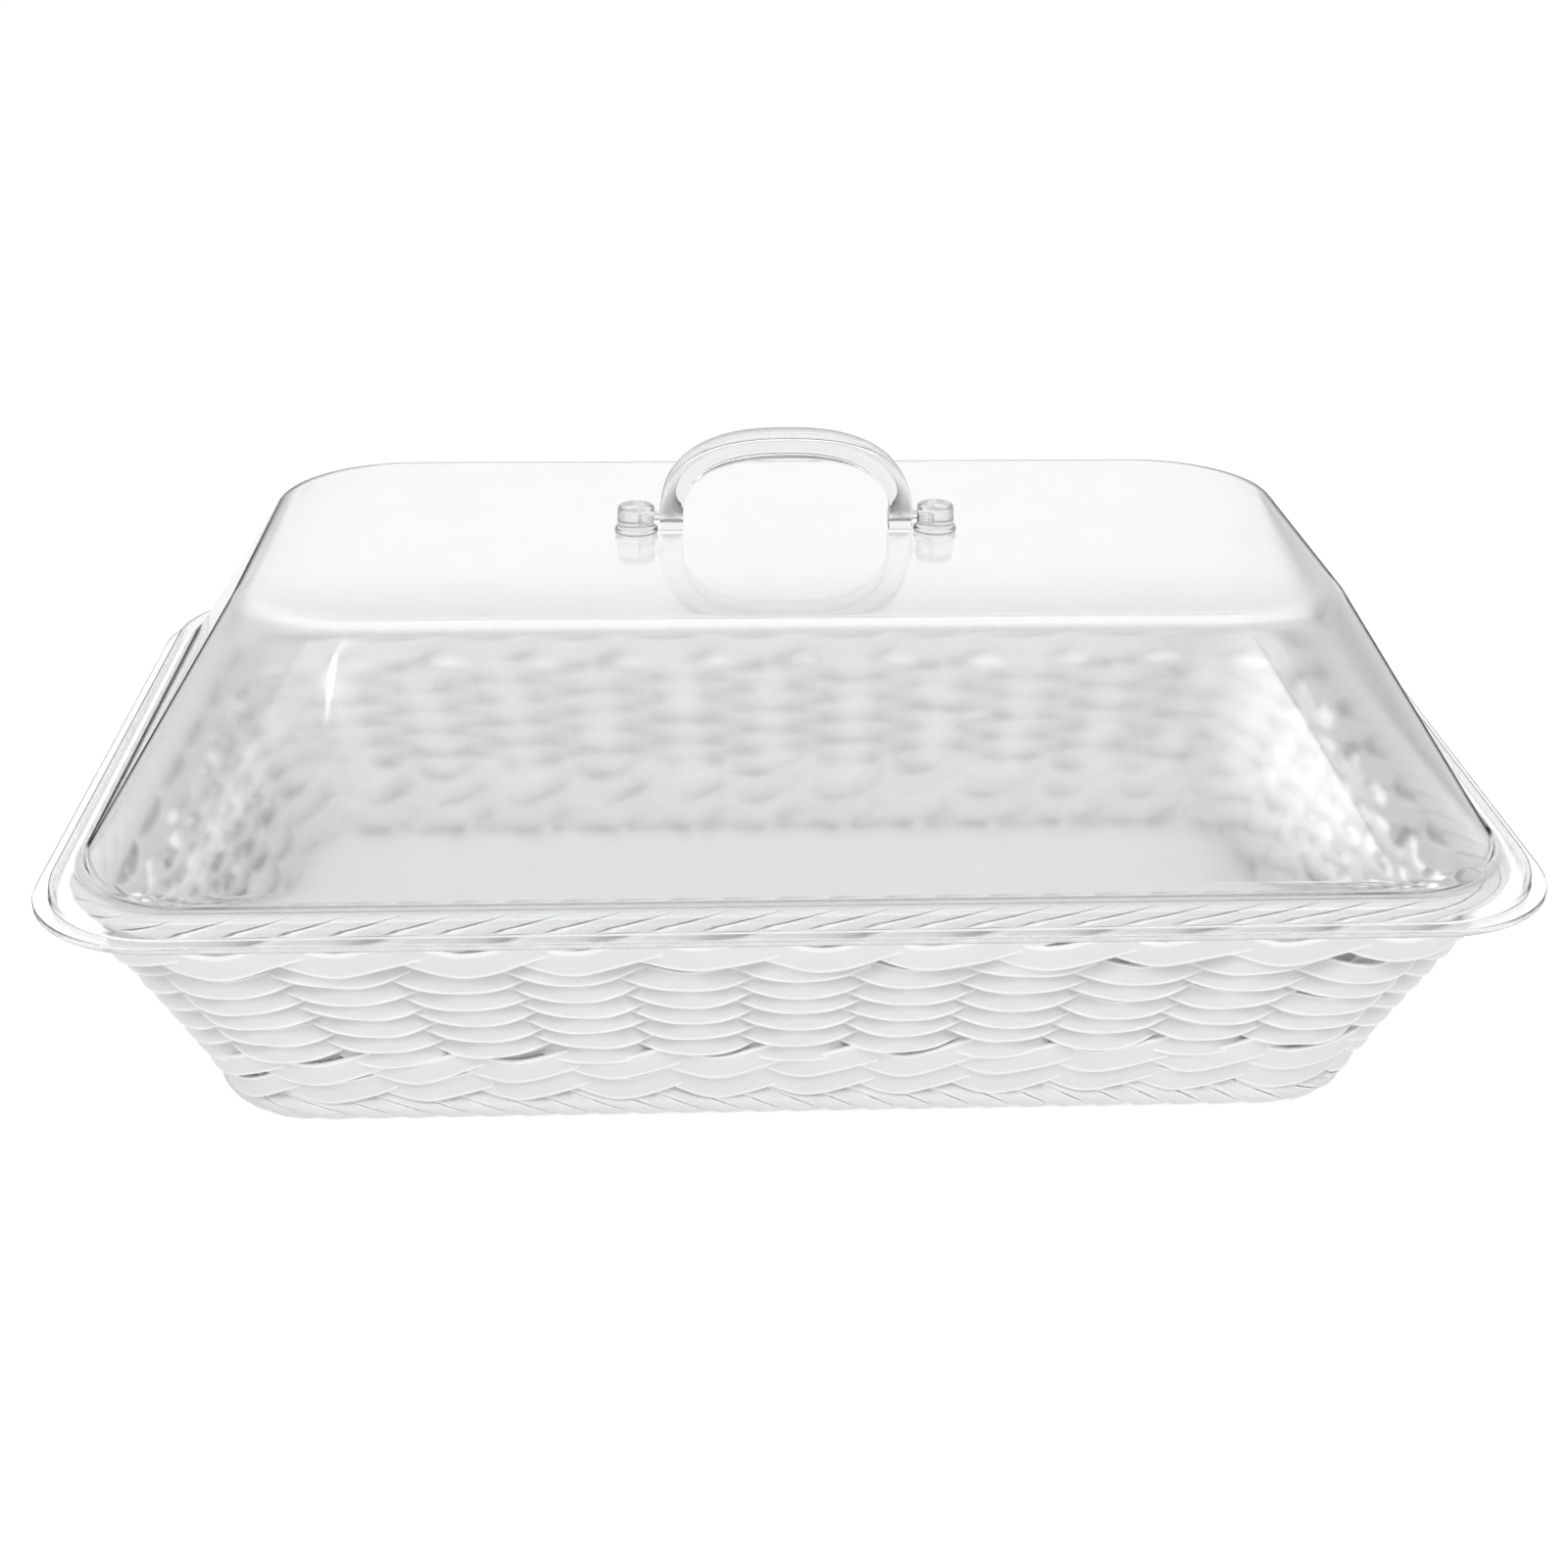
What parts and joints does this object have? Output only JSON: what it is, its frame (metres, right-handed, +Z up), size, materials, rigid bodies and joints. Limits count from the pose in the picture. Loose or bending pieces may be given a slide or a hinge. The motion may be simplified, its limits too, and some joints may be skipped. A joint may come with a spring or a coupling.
{
  "type": "lidded woven basket",
  "caption": "Rectangular woven plastic basket with flared walls, covered by a clear domed lid with a folding carry handle, for keeping and showing bread or other food.",
  "frame": {"origin": "middle of the foot border, on the surface that the basket stands on", "axes": "+X along the length, to the right seen from the front; +Y from the front to the back; +Z up"},
  "size_m": [0.42, 0.261, 0.1808],
  "materials": {
    "white_strand": "satin white extruded plastic strip, slightly translucent",
    "clear_lid": "clear, glossy moulded plastic sheet",
    "clear_handle": "clear, glossy moulded plastic"
  },
  "bodies": {
    "basket": {"crosswise_stake_01": "white_strand", "crosswise_stake_02": "white_strand", "crosswise_stake_03": "white_strand", "crosswise_stake_04": "white_strand", "crosswise_stake_05": "white_strand", "crosswise_stake_06": "white_strand", "crosswise_stake_07": "white_strand", "crosswise_stake_08": "white_strand", "crosswise_stake_09": "white_strand", "crosswise_stake_10": "white_strand", "crosswise_stake_11": "white_strand", "lengthwise_stake_01": "white_strand", "lengthwise_stake_02": "white_strand", "lengthwise_stake_03": "white_strand", "lengthwise_stake_04": "white_strand", "lengthwise_stake_05": "white_strand", "lengthwise_stake_06": "white_strand", "lengthwise_stake_07": "white_strand", "weaver_row_01": "white_strand", "weaver_row_02": "white_strand", "weaver_row_03": "white_strand", "weaver_row_04": "white_strand", "weaver_row_05": "white_strand", "weaver_row_06": "white_strand", "weaver_row_07": "white_strand", "weaver_row_08": "white_strand", "weaver_row_09": "white_strand", "weaver_row_10": "white_strand", "weaver_row_11": "white_strand", "lower_wale_rod_01": "white_strand", "lower_wale_rod_02": "white_strand", "lower_wale_rod_03": "white_strand", "lower_wale_rod_04": "white_strand", "lower_wale_rod_05": "white_strand", "lower_wale_rod_06": "white_strand", "upper_wale_rod_01": "white_strand", "upper_wale_rod_02": "white_strand", "upper_wale_rod_03": "white_strand", "rim_border": "white_strand", "foot_border": "white_strand", "floor_mat": "white_strand"},
    "lid": {"lid_shell": "clear_lid", "pivot_post_left": "clear_handle", "pivot_post_right": "clear_handle"},
    "handle": {"bail_handle": "clear_handle"}
  },
  "joints": [
    {"name": "lid_lift", "type": "slide", "parent": "basket", "child": "lid", "axis": [0, 0, 1], "range_m": [0, 0.15]},
    {"name": "handle_fold", "type": "hinge", "parent": "lid", "child": "handle", "pos_m": [0, 0, 0.1544], "axis": [1, 0, 0], "range_deg": [-80, 80]}
  ]
}
